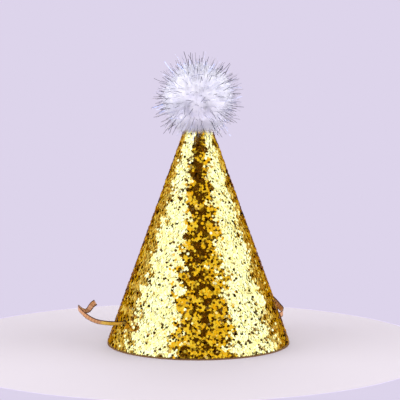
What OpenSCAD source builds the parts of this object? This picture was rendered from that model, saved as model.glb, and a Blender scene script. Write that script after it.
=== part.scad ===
// Small party hat: a cone rolled from one sheet of glitter card, a pompom with
// tinsel strands glued on its tip, and a short ribbon tie knotted through a
// punched hole at each side.
// The origin is the centre of the open base, +Z runs up the axis, the lapped
// seam is at the back (+Y) and the ties leave at -X and +X. Millimetres.

/* [Cone] */
// Outer diameter of the open base
base_d = 90; // [74:1:120]
// Height at which the slanted sides would meet above the open tip
apex_h = 124; // [100:1:160]
// Outer diameter of the small opening left at the tip
tip_d = 9; // [7:0.5:12]
// Thickness of the card with its glitter
sheet_t = 0.8; // [0.5:0.1:1.2]
// Width of the glued lap, measured along the base
lap_w = 8; // [4:0.5:14]

/* [Tie holes] */
// Diameter of each punched hole
hole_d = 3.4; // [3.4:0.1:6]
// Height of the holes above the base
hole_z = 13; // [9:0.5:24]

/* [Ties] */
// Width of the ribbon
ribbon_w = 3; // [2:0.1:3.2]
// Thickness of the ribbon
ribbon_t = 0.3; // [0.2:0.05:0.6]
// Diameter of a stopper knot, wider than its hole
knot_d = 5.2; // [4.4:0.1:7]
// Thickness of a knot, from the card inwards
knot_t = 3; // [2:0.1:4]
// Length of the ribbon end that stands out of a knot
knot_tail = 5; // [2:0.5:9]

/* [Glitter] */
// Width of a hexagonal flake across its corners
flake_d = 1.6; // [0.8:0.1:2.4]
// Thickness of a flake
flake_t = 0.2; // [0.1:0.05:0.4]
// Number of flakes scattered over the card
flake_count = 400; // [50:10:480]

/* [Pompom] */
// Diameter of the fluff ball over its tufts
ball_d = 32; // [26:1:42]
// How far the cone's tip is sunk into the ball
tip_sink = 4.6; // [3:0.2:7]
// Depth of the furrows between tufts
tuft_dip = 2; // [0.5:0.1:3]
// Number of tufts over the whole ball, each with one tinsel strand
tuft_count = 170; // [80:10:220]
// Free length of the longest tinsel strands
tinsel_l = 7; // [3:0.5:10]
// Width of a tinsel strand
tinsel_w = 0.6; // [0.3:0.1:1]
// Thickness of a tinsel strand
tinsel_t = 0.15; // [0.1:0.05:0.3]

/* [Glue] */
// Depth of the glue bead inside the tip
glue_depth = 6; // [3:0.5:10]
// Height of the glue over the rim of the tip
glue_cap = 1.2; // [0.6:0.1:2]

/* [Clearances] */
// Between the card's outer face and the socket in the ball
seat_gap = 0.3; // [0.2:0.05:0.5]
// Between the card's inner face and the glue or a knot
fit_gap = 0.1; // [0.05:0.05:0.3]

/* [Hidden] */

$fn = 96;
golden_a = 180 * (3 - sqrt(5));
full_turn = 360;
half_turn = 180;
quarter_turn = 90;

// Cone
base_r = base_d / 2;
tip_r = tip_d / 2;
lean_a = atan(base_r / apex_h);
wall_h = apex_h * (1 - tip_d / base_d);
wall_x = sheet_t / cos(lean_a);
lap_a = lap_w / base_r * half_turn / PI;
bond = sheet_t / 8;

// Turns about the axis, counted from the seam, at which the holes are punched
left_turn = 90;
right_turn = 270;

// Pompom
ball_r = ball_d / 2;
socket_z = wall_h - tip_sink;
roof_z = wall_h + glue_cap;
ball_z = socket_z + sqrt(pow(ball_r, 2) - pow(socket_r(socket_z), 2));
mouth_a = asin(socket_r(socket_z) / ball_r);
ball_columns = 56;
ball_rows = 26;
strand_clear_a = 6;
strand_sway_a = 9;

// Knots
knot_wraps = 2;
knot_groove = 0.15;
knot_steps = 12;

// Offsets from each hole's outer edge: away from the hat, towards the back, up.
// The fourth number is the tilt of the ribbon's width from the level.
left_route = [
    [3.8, 0.8, 0, 50], [7.1, 0.5, 0.4, 50], [10.3, 0.5, 0.9, 50], [13.1, 0.8, 1.5, 51],
    [15.6, 1.7, 2.4, 54], [17.6, 3, 3.6, 60], [19.1, 4.5, 4.9, 67], [20, 6.5, 6.2, 75],
    [20.1, 9.1, 7.1, 84], [19.3, 12, 7.3, 86], [17.6, 14.6, 6.7, 76], [15.7, 16, 5.5, 56],
    [13.8, 16.6, 4.6, 40], [12.3, 16.7, 4.6, 34], [11.1, 16.8, 5.5, 34],
    [10.1, 16.9, 6.7, 40], [9, 17, 7.7, 56], [7.7, 17.2, 8.4, 76],
];
right_route = [
    [2.6, 0.4, -1.9, 60], [5.1, 0.7, -3.1, 75], [7.3, 1.1, -3.4, 85], [9.1, 1.9, -2.7, 92],
    [10.4, 3.3, -1.8, 98], [10.7, 5.2, -1, 102], [10.2, 7.2, 0.3, 104], [9.5, 9.2, 2, 104],
    [8.7, 11.2, 3.5, 102], [8, 13.6, 4.9, 98], [7, 16.7, 5.8, 94], [5.4, 20, 6, 90],
    [3, 23.2, 5.1, 88], [0.2, 26.2, 3.5, 86], [-2.8, 28.8, 1.5, 84],
];

// Outer radius of the cone's inner layer at a height
function outer_r(z) = base_r * (1 - z / apex_h);

// Radius of the socket in the ball at a height
function socket_r(z) = outer_r(z) + wall_x / 2 + seat_gap;

// The sheet is rolled about two centres, half a thickness apart, so that it
// ends one thickness outside its start: these are the centre and the growth
function centre_x(turn) = turn > half_turn ? wall_x / 2 : 0;
function growth(turn) = turn < lap_a ? wall_x : centre_x(turn);

function unit(v) = v / norm(v);

// Point on the outer face of the card at a hole
function exit_of(side) = [
    side * (outer_r(hole_z) + wall_x / 4),
    side < 0 ? -wall_x / 2 : 0,
    hole_z,
];

// Puts the middle of the rolled base on the origin and the seam at +Y
module sheet_frame() {
    translate([-wall_x / 4, -wall_x / 2, 0])
        rotate([0, 0, quarter_turn])
            children();
}

// Puts children on the card's outer face with +Z along its outward normal
module on_card(turn, z) {
    sheet_frame()
        translate([centre_x(turn), 0, 0])
            rotate([0, 0, turn])
                translate([outer_r(z) + growth(turn), 0, z])
                    rotate([0, quarter_turn - lean_a, 0])
                        children();
}

// Section through one layer of card, from depth inside to grow outside
module layer_section(depth, grow) {
    polygon([
        [base_r - depth, 0],
        [base_r + grow, 0],
        [tip_r + grow, wall_h],
        [tip_r - depth, wall_h],
    ]);
}

module rolled_sheet() {
    sheet_frame() {
        rotate_extrude(angle = half_turn)
            layer_section(wall_x, 0);
        translate([wall_x / 2, 0, 0])
            rotate([0, 0, half_turn])
                rotate_extrude(angle = half_turn)
                    layer_section(wall_x / 2, wall_x / 2);
        rotate_extrude(angle = lap_a)
            layer_section(bond, wall_x);
    }
}

module punch(turn) {
    on_card(turn, hole_z)
        translate([0, 0, -2 * sheet_t])
            cylinder(d = hole_d, h = 3 * sheet_t, $fn = 48);
}

module cone() {
    color("goldenrod")
        difference() {
            rolled_sheet();
            punch(left_turn);
            punch(right_turn);
        }
}

// Height of one flake: the flakes share the slanted wall out evenly
function flake_z(i) =
    let (share = (i + 0.5) / flake_count, open = tip_d / base_d)
    apex_h * (1 - sqrt(1 - share * (1 - pow(open, 2))));

// True where a flake would lie over a hole, a lap edge or a rim
function flake_blocked(turn, z) =
    let (
        reach = flake_d / 2 + seat_gap,
        arc = (outer_r(z) + wall_x) * PI / half_turn,
        from_hole = min(abs(turn - left_turn), abs(turn - right_turn)) * arc,
        from_lap = min(abs(turn - lap_a), turn, full_turn - turn) * arc
    )
    z < reach || z > socket_z - reach || from_lap < reach
    || norm([from_hole, z - hole_z]) < hole_d / 2 + reach;

module glitter() {
    color("gold")
        for (i = [0:flake_count - 1]) {
            turn = (i * golden_a) % full_turn;
            z = flake_z(i);
            if (!flake_blocked(turn, z))
                on_card(turn, z)
                    rotate([0, 0, turn])
                        cylinder(d = flake_d, h = flake_t, $fn = 6);
        }
}

// Hot glue that fills the tip from inside and caps its rim
module glue_bead() {
    bead_z = wall_h - glue_depth;
    dish = glue_depth / 5;
    inside = wall_x + fit_gap;
    color("ivory")
        sheet_frame()
            rotate_extrude()
                polygon([
                    [0, bead_z + dish],
                    [outer_r(bead_z) - inside, bead_z],
                    [tip_r - inside, wall_h],
                    [tip_r, wall_h],
                    [tip_r, wall_h + glue_cap / 3],
                    [tip_r - glue_cap / 2, roof_z],
                    [0, roof_z],
                ]);
}

// Direction of one tuft: a golden-angle spiral over the sphere
function tuft_z(i) = 1 - (2 * i + 1) / tuft_count;
tuft_dirs = [
    for (i = [0:tuft_count - 1])
        let (rim = sqrt(1 - pow(tuft_z(i), 2)))
        [rim * cos(i * golden_a), rim * sin(i * golden_a), tuft_z(i)],
];
tuft_reach = 1 - 2.6 / tuft_count;

// Radius of the tufted surface: full at a tuft, lowest halfway between tufts
function ball_surface(dir) =
    let (near = max([for (t = tuft_dirs) t * dir]))
    ball_r - tuft_dip * min(1, sqrt((1 - near) / (1 - tuft_reach)));

// Angle from straight down of one row of the ball's skin
function row_a(row) = mouth_a + (half_turn - mouth_a) * row / ball_rows;

function ball_point(row, column) =
    let (
        turn = column * full_turn / ball_columns,
        a = row_a(row),
        dir = [sin(a) * cos(turn), sin(a) * sin(turn), -cos(a)],
        fade = min(1, row / 3),
        r = ball_r + (ball_surface(dir) - ball_r) * fade
    )
    [0, 0, ball_z] + r * dir;

function ring_at(r, z) = [
    for (column = [0:ball_columns - 1])
        let (turn = column * full_turn / ball_columns)
        [r * cos(turn), r * sin(turn), z],
];

// Two triangles between each two points of neighbouring rings
function band(first, n) = [
    for (k = [0:n - 1], half = [0, 1])
        let (a = first + k, b = first + (k + 1) % n)
        half == 0 ? [a, b, b + n] : [a, b + n, a + n],
];

// Fluff ball: a tufted skin round a conical socket for the tip
module pompom_fluff() {
    n = ball_columns;
    rings = [
        ring_at(socket_r(roof_z), roof_z),
        for (row = [0:ball_rows - 1])
            [for (column = [0:n - 1]) ball_point(row, column)],
    ];
    count = len(rings);
    roof = count * n;
    crown = roof + 1;
    points = [
        for (ring = rings, p = ring) p,
        [0, 0, roof_z],
        ball_point(ball_rows, 0),
    ];
    faces = [
        for (i = [0:count - 2], f = band(i * n, n)) [f[0], f[2], f[1]],
        for (k = [0:n - 1]) [roof, k, (k + 1) % n],
        for (k = [0:n - 1]) [crown, (count - 1) * n + (k + 1) % n, (count - 1) * n + k],
    ];
    color("white")
        polyhedron(points, faces, convexity = 6);
}

// Metallised strands, each standing on its own tuft
module pompom_tinsel() {
    foot_gap = fit_gap / 2;
    color("silver")
        translate([0, 0, ball_z])
            for (i = [0:tuft_count - 1]) {
                from_top = acos(tuft_z(i));
                strand_l = tinsel_l * (0.7 + 0.1 * (i * 7 % 4));
                sway = strand_sway_a * ((i * 5 % 7) / 3 - 1);
                lift = foot_gap + tinsel_w / 2 * sin(abs(sway));
                if (half_turn - from_top > mouth_a + strand_clear_a)
                    rotate([0, from_top, i * golden_a])
                        translate([0, 0, ball_r + lift])
                            rotate([0, sway, 0])
                                translate([-tinsel_w / 2, -tinsel_t / 2, 0])
                                    cube([tinsel_w, tinsel_t, strand_l]);
            }
}

// Flat section of the ribbon with eased edges, eight points round
ribbon_section =
    let (w = ribbon_w / 2, t = ribbon_t / 2, e = ribbon_t / 4)
    [
        [w, e], [w - e, t], [e - w, t], [-w, e],
        [-w, -e], [e - w, -t], [w - e, -t], [w, -e],
    ];

// Points that the ribbon follows, from the knot out through its hole
function ribbon_path(side, route) =
    let (
        exit = exit_of(side),
        normal = [side * cos(lean_a), 0, sin(lean_a)]
    )
    [
        exit - (sheet_t + fit_gap) * normal,
        exit + ribbon_t * normal,
        for (p = route) exit + [side * p[0], p[1], p[2]],
    ];

// Tilt of the ribbon's width at each of those points
function ribbon_tilts(route) = [route[0][3], route[0][3], for (p = route) p[3]];

function ribbon_ring(path, tilts, i) =
    let (
        last = len(path) - 1,
        along = unit(path[min(i + 1, last)] - path[max(i - 1, 0)]),
        level = unit(cross([0, 0, 1], along)),
        upright = cross(along, level),
        across = level * cos(tilts[i]) + upright * sin(tilts[i]),
        face = cross(along, across)
    )
    [for (q = ribbon_section) path[i] + q[0] * across + q[1] * face];

module ribbon(side, route) {
    path = ribbon_path(side, route);
    tilts = ribbon_tilts(route);
    n = len(ribbon_section);
    count = len(path);
    points = [for (i = [0:count - 1], p = ribbon_ring(path, tilts, i)) p];
    faces = [
        for (i = [0:count - 2], f = band(i * n, n)) [f[0], f[2], f[1]],
        [for (k = [0:n - 1]) k],
        [for (k = [0:n - 1]) count * n - 1 - k],
    ];
    color("darkgoldenrod")
        polyhedron(points, faces, convexity = 6);
}

// Radius of the knot at a share of its thickness: full over each wrap
function wrap_radius(share) =
    knot_d / 2 * (1 - knot_groove * (1 - abs(sin(half_turn * knot_wraps * share))));

// Overhand knot drawn tight against the inside of the card
module knot(turn) {
    color("darkgoldenrod")
        on_card(turn, hole_z)
            translate([0, 0, -sheet_t - fit_gap]) {
                rotate_extrude($fn = 48)
                    polygon([
                        [0, 0],
                        for (k = [0:knot_steps])
                            [wrap_radius(k / knot_steps), -knot_t * k / knot_steps],
                        [0, -knot_t],
                    ]);
                rotate([quarter_turn / 3, 0, 0])
                    translate([-ribbon_w / 2, -ribbon_t / 2, -knot_t - knot_tail])
                        cube([ribbon_w, ribbon_t, knot_tail + knot_t / 2]);
            }
}

module tie_left() {
    ribbon(-1, left_route);
}

module tie_right() {
    ribbon(1, right_route);
}

module knot_left() {
    knot(left_turn);
}

module knot_right() {
    knot(right_turn);
}

cone();
glitter();
glue_bead();
pompom_fluff();
pompom_tinsel();
tie_left();
tie_right();
knot_left();
knot_right();
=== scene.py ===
"""Looks of a small party hat: glitter card cone, tinsel pompom and ribbon ties.

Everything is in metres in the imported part's own frame: the origin is the centre
of the open base, +Z runs up the axis and the lapped seam is at the back (+Y).
"""

import logging
import math
from dataclasses import dataclass
from enum import Enum

import bpy
import numpy as np
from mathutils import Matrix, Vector


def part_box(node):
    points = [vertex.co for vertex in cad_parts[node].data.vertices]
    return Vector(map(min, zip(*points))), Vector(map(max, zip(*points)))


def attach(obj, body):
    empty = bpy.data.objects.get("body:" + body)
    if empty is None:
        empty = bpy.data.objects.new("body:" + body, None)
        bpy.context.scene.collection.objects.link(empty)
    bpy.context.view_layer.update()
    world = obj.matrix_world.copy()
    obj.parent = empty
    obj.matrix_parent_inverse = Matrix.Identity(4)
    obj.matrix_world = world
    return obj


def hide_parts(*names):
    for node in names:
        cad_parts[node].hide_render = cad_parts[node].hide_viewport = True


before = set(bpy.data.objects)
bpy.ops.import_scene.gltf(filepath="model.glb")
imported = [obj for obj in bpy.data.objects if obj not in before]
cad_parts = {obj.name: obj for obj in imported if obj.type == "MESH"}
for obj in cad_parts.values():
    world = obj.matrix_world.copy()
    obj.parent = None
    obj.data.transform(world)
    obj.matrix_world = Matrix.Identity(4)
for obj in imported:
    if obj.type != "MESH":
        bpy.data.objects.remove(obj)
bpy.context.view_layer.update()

LOG = logging.getLogger("party_hat")
MM = 0.001
FULL_TURN = 2 * math.pi
GOLDEN_ANGLE = math.pi * (3 - math.sqrt(5))

Colour = tuple[float, float, float]
Span = tuple[float, float]
Stops = tuple[tuple[float, Colour], ...]
Faces = list[tuple[int, ...]]


class Side(Enum):
    """The two sides of the hat at which a ribbon is tied."""

    LEFT = -1
    RIGHT = 1


class Fade(Enum):
    """How a shader value goes from 0 to 1."""

    SOFT = "SMOOTHSTEP"
    EVEN = "LINEAR"


def from_srgb(red: int, green: int, blue: int) -> Colour:
    """Linear colour of a colour as a screen shows it.

    Args:
        red: Red from 0 to 255.
        green: Green from 0 to 255.
        blue: Blue from 0 to 255.

    Returns:
        The colour, each part from 0 to 1.
    """
    return tuple(
        (c / 255 / 12.92) if c <= 10 else ((c / 255 + 0.055) / 1.055) ** 2.4
        for c in (red, green, blue)
    )


def clear_selection() -> None:
    """Leaves nothing selected, so that an operator acts on one piece only."""
    if bpy.context.object and bpy.context.object.mode != "OBJECT":
        bpy.ops.object.mode_set(mode="OBJECT")
    bpy.ops.object.select_all(action="DESELECT")


def turn_outwards(piece: bpy.types.Object) -> None:
    """Turns the faces of a closed piece outwards.

    Args:
        piece: The piece.
    """
    clear_selection()
    piece.select_set(True)
    bpy.context.view_layer.objects.active = piece
    bpy.ops.object.mode_set(mode="EDIT")
    bpy.ops.mesh.select_all(action="SELECT")
    bpy.ops.mesh.normals_make_consistent(inside=False)
    bpy.ops.object.mode_set(mode="OBJECT")


def unit_rows(vectors: np.ndarray) -> np.ndarray:
    """Each row of an array of vectors at length one."""
    return vectors / np.linalg.norm(vectors, axis=-1, keepdims=True)


def share_between(values: np.ndarray, first: float, last: float) -> np.ndarray:
    """Share from 0 at the first value to 1 at the last, kept within both."""
    return np.clip((values - first) / (last - first), 0, 1)


def directions_at(turn: np.ndarray, rise: np.ndarray) -> np.ndarray:
    """Unit vectors at turns about the axis and heights on the sphere, one a row."""
    rim = np.sqrt(1 - rise**2)
    return np.stack([rim * np.cos(turn), rim * np.sin(turn), rise], axis=1)


def side_of(normals: np.ndarray) -> tuple[np.ndarray, np.ndarray]:
    """Two directions square to each normal and to each other.

    Args:
        normals: One unit vector a row.

    Returns:
        The two arrays of directions, one row a normal.
    """
    nearly_upright = np.abs(normals[:, 2:3]) >= 0.9
    helper = np.where(nearly_upright, [[1.0, 0.0, 0.0]], [[0.0, 0.0, 1.0]])
    first = unit_rows(np.cross(helper, normals))
    return first, np.cross(normals, first)


def points_along(start: np.ndarray, *terms: tuple[np.ndarray, np.ndarray]) -> np.ndarray:
    """Points of many copies, each set out from its start along its own axes.

    Args:
        start: The start of each copy, one a row.
        terms: For each axis, the lengths along it, as copies by points, and
            the axis itself, one row a copy.

    Returns:
        The points, as copies by points by three.
    """
    placed = start[:, None, :]
    for lengths, axis in terms:
        placed = placed + lengths[:, :, None] * axis[:, None, :]
    return placed


@dataclass
class ShaderTree:
    """A node tree under construction, with short calls to add and join nodes."""

    tree: bpy.types.NodeTree

    def add(self, kind: str, **settings: object) -> bpy.types.Node:
        """Adds a node of a kind and sets its properties.

        Args:
            kind: The node's type without the ShaderNode before it.
            settings: Properties of the node by name.

        Returns:
            The new node.
        """
        node = self.tree.nodes.new("ShaderNode" + kind)
        for name, value in settings.items():
            setattr(node, name, value)
        return node

    def feed(self, socket: object, value: object) -> None:
        """Sets an input to a number, vector or colour, or links a socket to it.

        Args:
            socket: The input socket.
            value: The constant or the output socket.
        """
        if isinstance(value, bpy.types.NodeSocket):
            self.tree.links.new(value, socket)
        elif socket.type == "RGBA":
            socket.default_value = (*value, 1.0)
        else:
            socket.default_value = value

    def fill(self, node: bpy.types.Node, values: dict[str, object]) -> None:
        """Feeds several inputs of a node, each by its name."""
        for name, value in values.items():
            self.feed(node.inputs[name], value)

    def tone(self) -> object:
        """Output of the tone that the piece carries at each point."""
        return self.add("Attribute", attribute_name="tone").outputs["Fac"]

    def place(self) -> object:
        """Output of the place on the piece."""
        return self.add("TexCoord").outputs["Object"]

    def math(self, operation: str, first: object, second: object = 0.0) -> object:
        """Output of a Math node on two numbers or sockets.

        Args:
            operation: The node's operation.
            first: Number or socket of the first input.
            second: Number or socket of the second input.

        Returns:
            The node's output socket.
        """
        node = self.add("Math", operation=operation)
        self.feed(node.inputs[0], first)
        self.feed(node.inputs[1], second)
        return node.outputs[0]

    def vector(
        self, operation: str, first: object, second: object = (0.0, 0.0, 0.0)
    ) -> object:
        """Output of a Vector Math node on two vectors or sockets.

        Args:
            operation: The node's operation.
            first: Vector or socket of the first input.
            second: Vector or socket of the second input.

        Returns:
            The node's number for a dot product or a length, else its vector.
        """
        node = self.add("VectorMath", operation=operation)
        self.feed(node.inputs[0], first)
        self.feed(node.inputs[1], second)
        gives_number = operation in ("DOT_PRODUCT", "LENGTH")
        return node.outputs["Value" if gives_number else "Vector"]

    def split(self, vector: object) -> list[object]:
        """Takes a vector apart.

        Args:
            vector: The vector's socket.

        Returns:
            The sockets of its three parts.
        """
        node = self.add("SeparateXYZ")
        self.feed(node.inputs[0], vector)
        return list(node.outputs)

    def ramp(self, factor: object, stops: Stops) -> object:
        """Colour output of a ramp.

        Args:
            factor: Socket that drives the ramp.
            stops: Position and colour of each stop, in order.

        Returns:
            The ramp's colour socket.
        """
        node = self.add("ValToRGB")
        elements = node.color_ramp.elements
        while len(elements) < len(stops):
            elements.new(0.5)
        for element, (position, colour) in zip(elements, stops):
            element.position = position
            element.color = (*colour, 1.0)
        self.feed(node.inputs[0], factor)
        return node.outputs[0]

    def mix(self, factor: object, first: object, second: object) -> object:
        """Colour output of a mix of two colours or colour sockets.

        Args:
            factor: Share of the second colour, a number or a socket.
            first: The colour at a factor of 0.
            second: The colour at a factor of 1.

        Returns:
            The mixed colour's socket.
        """
        node = self.add("Mix", data_type="RGBA")
        self.feed(node.inputs["Factor"], factor)
        self.feed(node.inputs[6], first)
        self.feed(node.inputs[7], second)
        return node.outputs[2]

    def noise(self, vector: object, scale: float, detail: float = 3.0) -> object:
        """Value output of a noise texture.

        Args:
            vector: Socket of the places.
            scale: How fine the noise is, in waves a unit.
            detail: How many finer waves it adds.

        Returns:
            The noise's value socket.
        """
        node = self.add("TexNoise")
        self.fill(node, {"Vector": vector, "Scale": scale, "Detail": detail})
        return node.outputs[0]

    def bump(self, height: object, strength: float, distance: float) -> object:
        """Normal output of a bump.

        Args:
            height: Socket of the height from 0 to 1.
            strength: Share of the bump that shows.
            distance: Depth of the bump.

        Returns:
            The normal's socket.
        """
        node = self.add("Bump")
        self.fill(node, {"Strength": strength, "Distance": distance, "Height": height})
        return node.outputs[0]

    def fade(
        self, value: object, none: float, full: float, shape: Fade = Fade.SOFT
    ) -> object:
        """Step of a socket from 0 at one value to 1 at another.

        Args:
            value: The socket.
            none: Its value at which the step is 0.
            full: Its value at which the step is 1.
            shape: How the step goes from 0 to 1.

        Returns:
            The step's socket.
        """
        node = self.add("MapRange", interpolation_type=shape.value)
        self.fill(node, {"Value": value, "From Min": none, "From Max": full})
        return node.outputs[0]

    def between(self, value: object, start: Span, end: Span) -> object:
        """Band of a socket that fades in over one span and out over another."""
        return self.math("MULTIPLY", self.fade(value, *start), self.fade(value, *end))

    def glow(self, colour: object) -> object:
        """Output of a glow at strength 1.

        Args:
            colour: The glow's colour or colour socket.

        Returns:
            The shader's socket.
        """
        node = self.add("Emission")
        self.feed(node.inputs["Color"], colour)
        return node.outputs[0]

    def show(self, shader: object) -> None:
        """Makes a shader the one that the material shows."""
        self.feed(self.tree.nodes["Material Output"].inputs["Surface"], shader)


def new_material(name: str) -> tuple[bpy.types.Material, ShaderTree, bpy.types.Node]:
    """A new material with one Principled shader.

    Args:
        name: The finish's name.

    Returns:
        The material, its tree and its Principled node.
    """
    material = bpy.data.materials.new(name)
    material.use_nodes = True
    tree = ShaderTree(material.node_tree)
    return material, tree, material.node_tree.nodes["Principled BSDF"]


@dataclass(frozen=True)
class FlakeFilm:
    """Metallised gold film, deep to pale gold from flake to flake; a few flakes are dark brown,
    a painted shade for flakes that catch no light.
    """

    tones: Stops = (
        # A few flakes in dark brown: painted shade, where the film itself is gold
        (0.04, from_srgb(72, 50, 10)),
        (0.06, from_srgb(240, 200, 88)),
        (0.5, from_srgb(249, 219, 116)),
        (1.0, from_srgb(252, 235, 146)),
    )
    grazing: Colour = from_srgb(198, 150, 78)
    roughness: float = 0.09

    def make(self) -> bpy.types.Material:
        """Builds the film, whose tone changes from flake to flake.

        Returns:
            The material.
        """
        material, tree, surface = new_material("flake_film")
        tree.fill(surface, {
            "Base Color": tree.ramp(tree.tone(), self.tones),
            "Metallic": 1.0,
            "Roughness": self.roughness,
            "Specular Tint": self.grazing,
        })
        return material


@dataclass(frozen=True)
class GlitterCard:
    """Card with a gold glue coat outside and bare card inside; its cut edge and a thin rim above
    it outside are dark brown, a painted shade line along the base.
    """

    coat: Stops = ((0.35, from_srgb(64, 48, 12)), (0.68, from_srgb(150, 116, 30)))
    inside: Colour = from_srgb(232, 226, 214)
    inside_shade: Colour = from_srgb(214, 206, 190)
    # Dark brown of the cut edge and of the outer rim below the coat: painted shade along the
    # base
    edge: Colour = from_srgb(104, 76, 44)
    painted_shade_rim: float = 0.7 * MM
    least_facing: float = 0.5
    grain: float = 900.0
    grain_depth: float = 0.1 * MM
    card_roughness: float = 0.85
    coat_gloss: float = 0.4
    coat_metallic: float = 0.7
    shine: float = 0.15

    def make(self) -> bpy.types.Material:
        """Builds the card: the side is told by the way its surface faces.

        Returns:
            The material.
        """
        material, tree, surface = new_material("glitter_card")
        coordinates = tree.add("TexCoord")
        place = coordinates.outputs["Object"]
        away = tree.vector("NORMALIZE", tree.vector("MULTIPLY", place, (1.0, 1.0, 0.0)))
        facing = tree.vector("DOT_PRODUCT", away, coordinates.outputs["Normal"])
        coated = tree.math("GREATER_THAN", tree.split(place)[2], self.painted_shade_rim)
        outside = tree.math("GREATER_THAN", facing, self.least_facing)
        outside = tree.math("MULTIPLY", outside, coated)
        inside = tree.math("LESS_THAN", facing, -self.least_facing)
        grain = tree.noise(place, self.grain, 4.0)
        fibre = tree.noise(place, self.grain / 3, 6.0)
        bare = tree.mix(fibre, self.inside, self.inside_shade)
        # Where the card faces neither out nor in, and on the outer rim below the coat, the dark
        # brown is painted shade.
        card = tree.mix(inside, self.edge, bare)
        gloss = tree.math("MULTIPLY", outside, self.coat_gloss)
        tree.fill(surface, {
            "Base Color": tree.mix(outside, card, tree.ramp(grain, self.coat)),
            "Metallic": tree.math("MULTIPLY", outside, self.coat_metallic),
            "Roughness": tree.math("SUBTRACT", self.card_roughness, gloss),
            "Specular IOR Level": self.shine,
            "Normal": tree.bump(grain, 0.4, self.grain_depth),
        })
        return material


@dataclass(frozen=True)
class FluffFibre:
    """Soft white fibre that turns lavender grey where its tone is low: partly random, partly
    painted shade in the furrows between tufts.
    """

    tip: Colour = from_srgb(249, 249, 247)
    # Lavender grey: painted shade for fibres in the furrows between tufts, and a random tint
    # where the cloud is low
    root: Colour = from_srgb(216, 215, 226)
    cloud: float = 320.0
    least_cloud: float = 0.6
    roughness: float = 0.8
    sheen: float = 0.3

    def make(self) -> bpy.types.Material:
        """Builds the fibre, pale where its tone is high and lavender grey where it is low,
        broken up by a fine random cloud.

        Returns:
            The material.
        """
        material, tree, surface = new_material("fluff_fibre")
        cloud = tree.math("ADD", self.least_cloud, tree.noise(tree.place(), self.cloud))
        height = tree.math("MULTIPLY", tree.tone(), cloud)
        tree.fill(surface, {
            "Base Color": tree.mix(height, self.root, self.tip),
            "Roughness": self.roughness,
            "Sheen Weight": self.sheen,
        })
        return material


@dataclass(frozen=True)
class TinselFilm:
    """Silver film of the pompom's strands, tinted at random from dark through cool to bright:
    the dark and the bright tints are painted reflection.
    """

    tones: Stops = (
        # Dark and bright ends of the tints: painted reflection of dark and bright surroundings
        (0.4, from_srgb(46, 46, 58)),
        (0.56, from_srgb(140, 142, 162)),
        (0.75, from_srgb(238, 240, 252)),
    )
    metallic: float = 0.75
    roughness: float = 0.3

    def make(self) -> bpy.types.Material:
        """Builds the film, whose tint changes from strand to strand.

        Returns:
            The material.
        """
        material, tree, surface = new_material("tinsel_film")
        tree.fill(surface, {
            "Base Color": tree.ramp(tree.tone(), self.tones),
            "Metallic": self.metallic,
            "Roughness": self.roughness,
        })
        return material


@dataclass(frozen=True)
class SatinRibbon:
    """Gold-copper satin with fine cross ribs, darker woven edges and a painted highlight on the
    stretch next to the hole.
    """

    face: Colour = from_srgb(228, 172, 118)
    rib: Colour = from_srgb(178, 118, 70)
    edge: Colour = from_srgb(84, 50, 30)
    # Pale yellow painted highlight on the stretch of ribbon next to the hole
    painted_highlight: Colour = from_srgb(255, 214, 92)
    painted_highlight_end: Span = (12.5 * MM, 14.5 * MM)
    hem: Span = (0.3, 0.42)
    # Radians of the ribs' wave in a metre of ribbon
    rib_wave: float = 4200.0
    rib_share: float = 0.6
    rib_depth: float = 0.05 * MM
    metallic: float = 0.6
    roughness: float = 0.34

    def make(self) -> bpy.types.Material:
        """Builds the satin on the ribbon's own map: U across it and V along it.

        Returns:
            The material.
        """
        material, tree, surface = new_material("satin_ribbon")
        across, along, _ = tree.split(tree.add("UVMap", uv_map="ribbon").outputs[0])
        from_middle = tree.math("ABSOLUTE", tree.math("SUBTRACT", across, 0.5))
        wave = tree.math("SINE", tree.math("MULTIPLY", along, self.rib_wave))
        ribs = tree.math("MULTIPLY", tree.math("ADD", wave, 1.0), 0.5)
        body = tree.mix(tree.math("MULTIPLY", ribs, self.rib_share), self.face, self.rib)
        # Near the hole the face takes the pale yellow painted highlight, which fades out along
        # the ribbon.
        body = tree.mix(tree.fade(along, *self.painted_highlight_end), self.painted_highlight, body)
        tree.fill(surface, {
            "Base Color": tree.mix(tree.fade(from_middle, *self.hem), body, self.edge),
            "Metallic": self.metallic,
            "Roughness": self.roughness,
            "Normal": tree.bump(ribs, 0.3, self.rib_depth),
        })
        return material


@dataclass(frozen=True)
class HotGlue:
    """Cloudy hot-melt glue with a soft gloss."""

    clear: Colour = from_srgb(226, 220, 200)
    cloudy: Colour = from_srgb(244, 241, 232)
    cloud: float = 260.0
    roughness: float = 0.3
    milkiness: float = 0.3
    light_depth: float = 3 * MM
    wave_depth: float = 0.2 * MM

    def make(self) -> bpy.types.Material:
        """Builds the glue with a slow cloudiness.

        Returns:
            The material.
        """
        material, tree, surface = new_material("hot_glue")
        cloud = tree.noise(tree.place(), self.cloud)
        tree.fill(surface, {
            "Base Color": tree.mix(cloud, self.clear, self.cloudy),
            "Roughness": self.roughness,
            "Subsurface Weight": self.milkiness,
            "Subsurface Scale": self.light_depth,
            "Normal": tree.bump(cloud, 0.2, self.wave_depth),
        })
        return material


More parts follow.
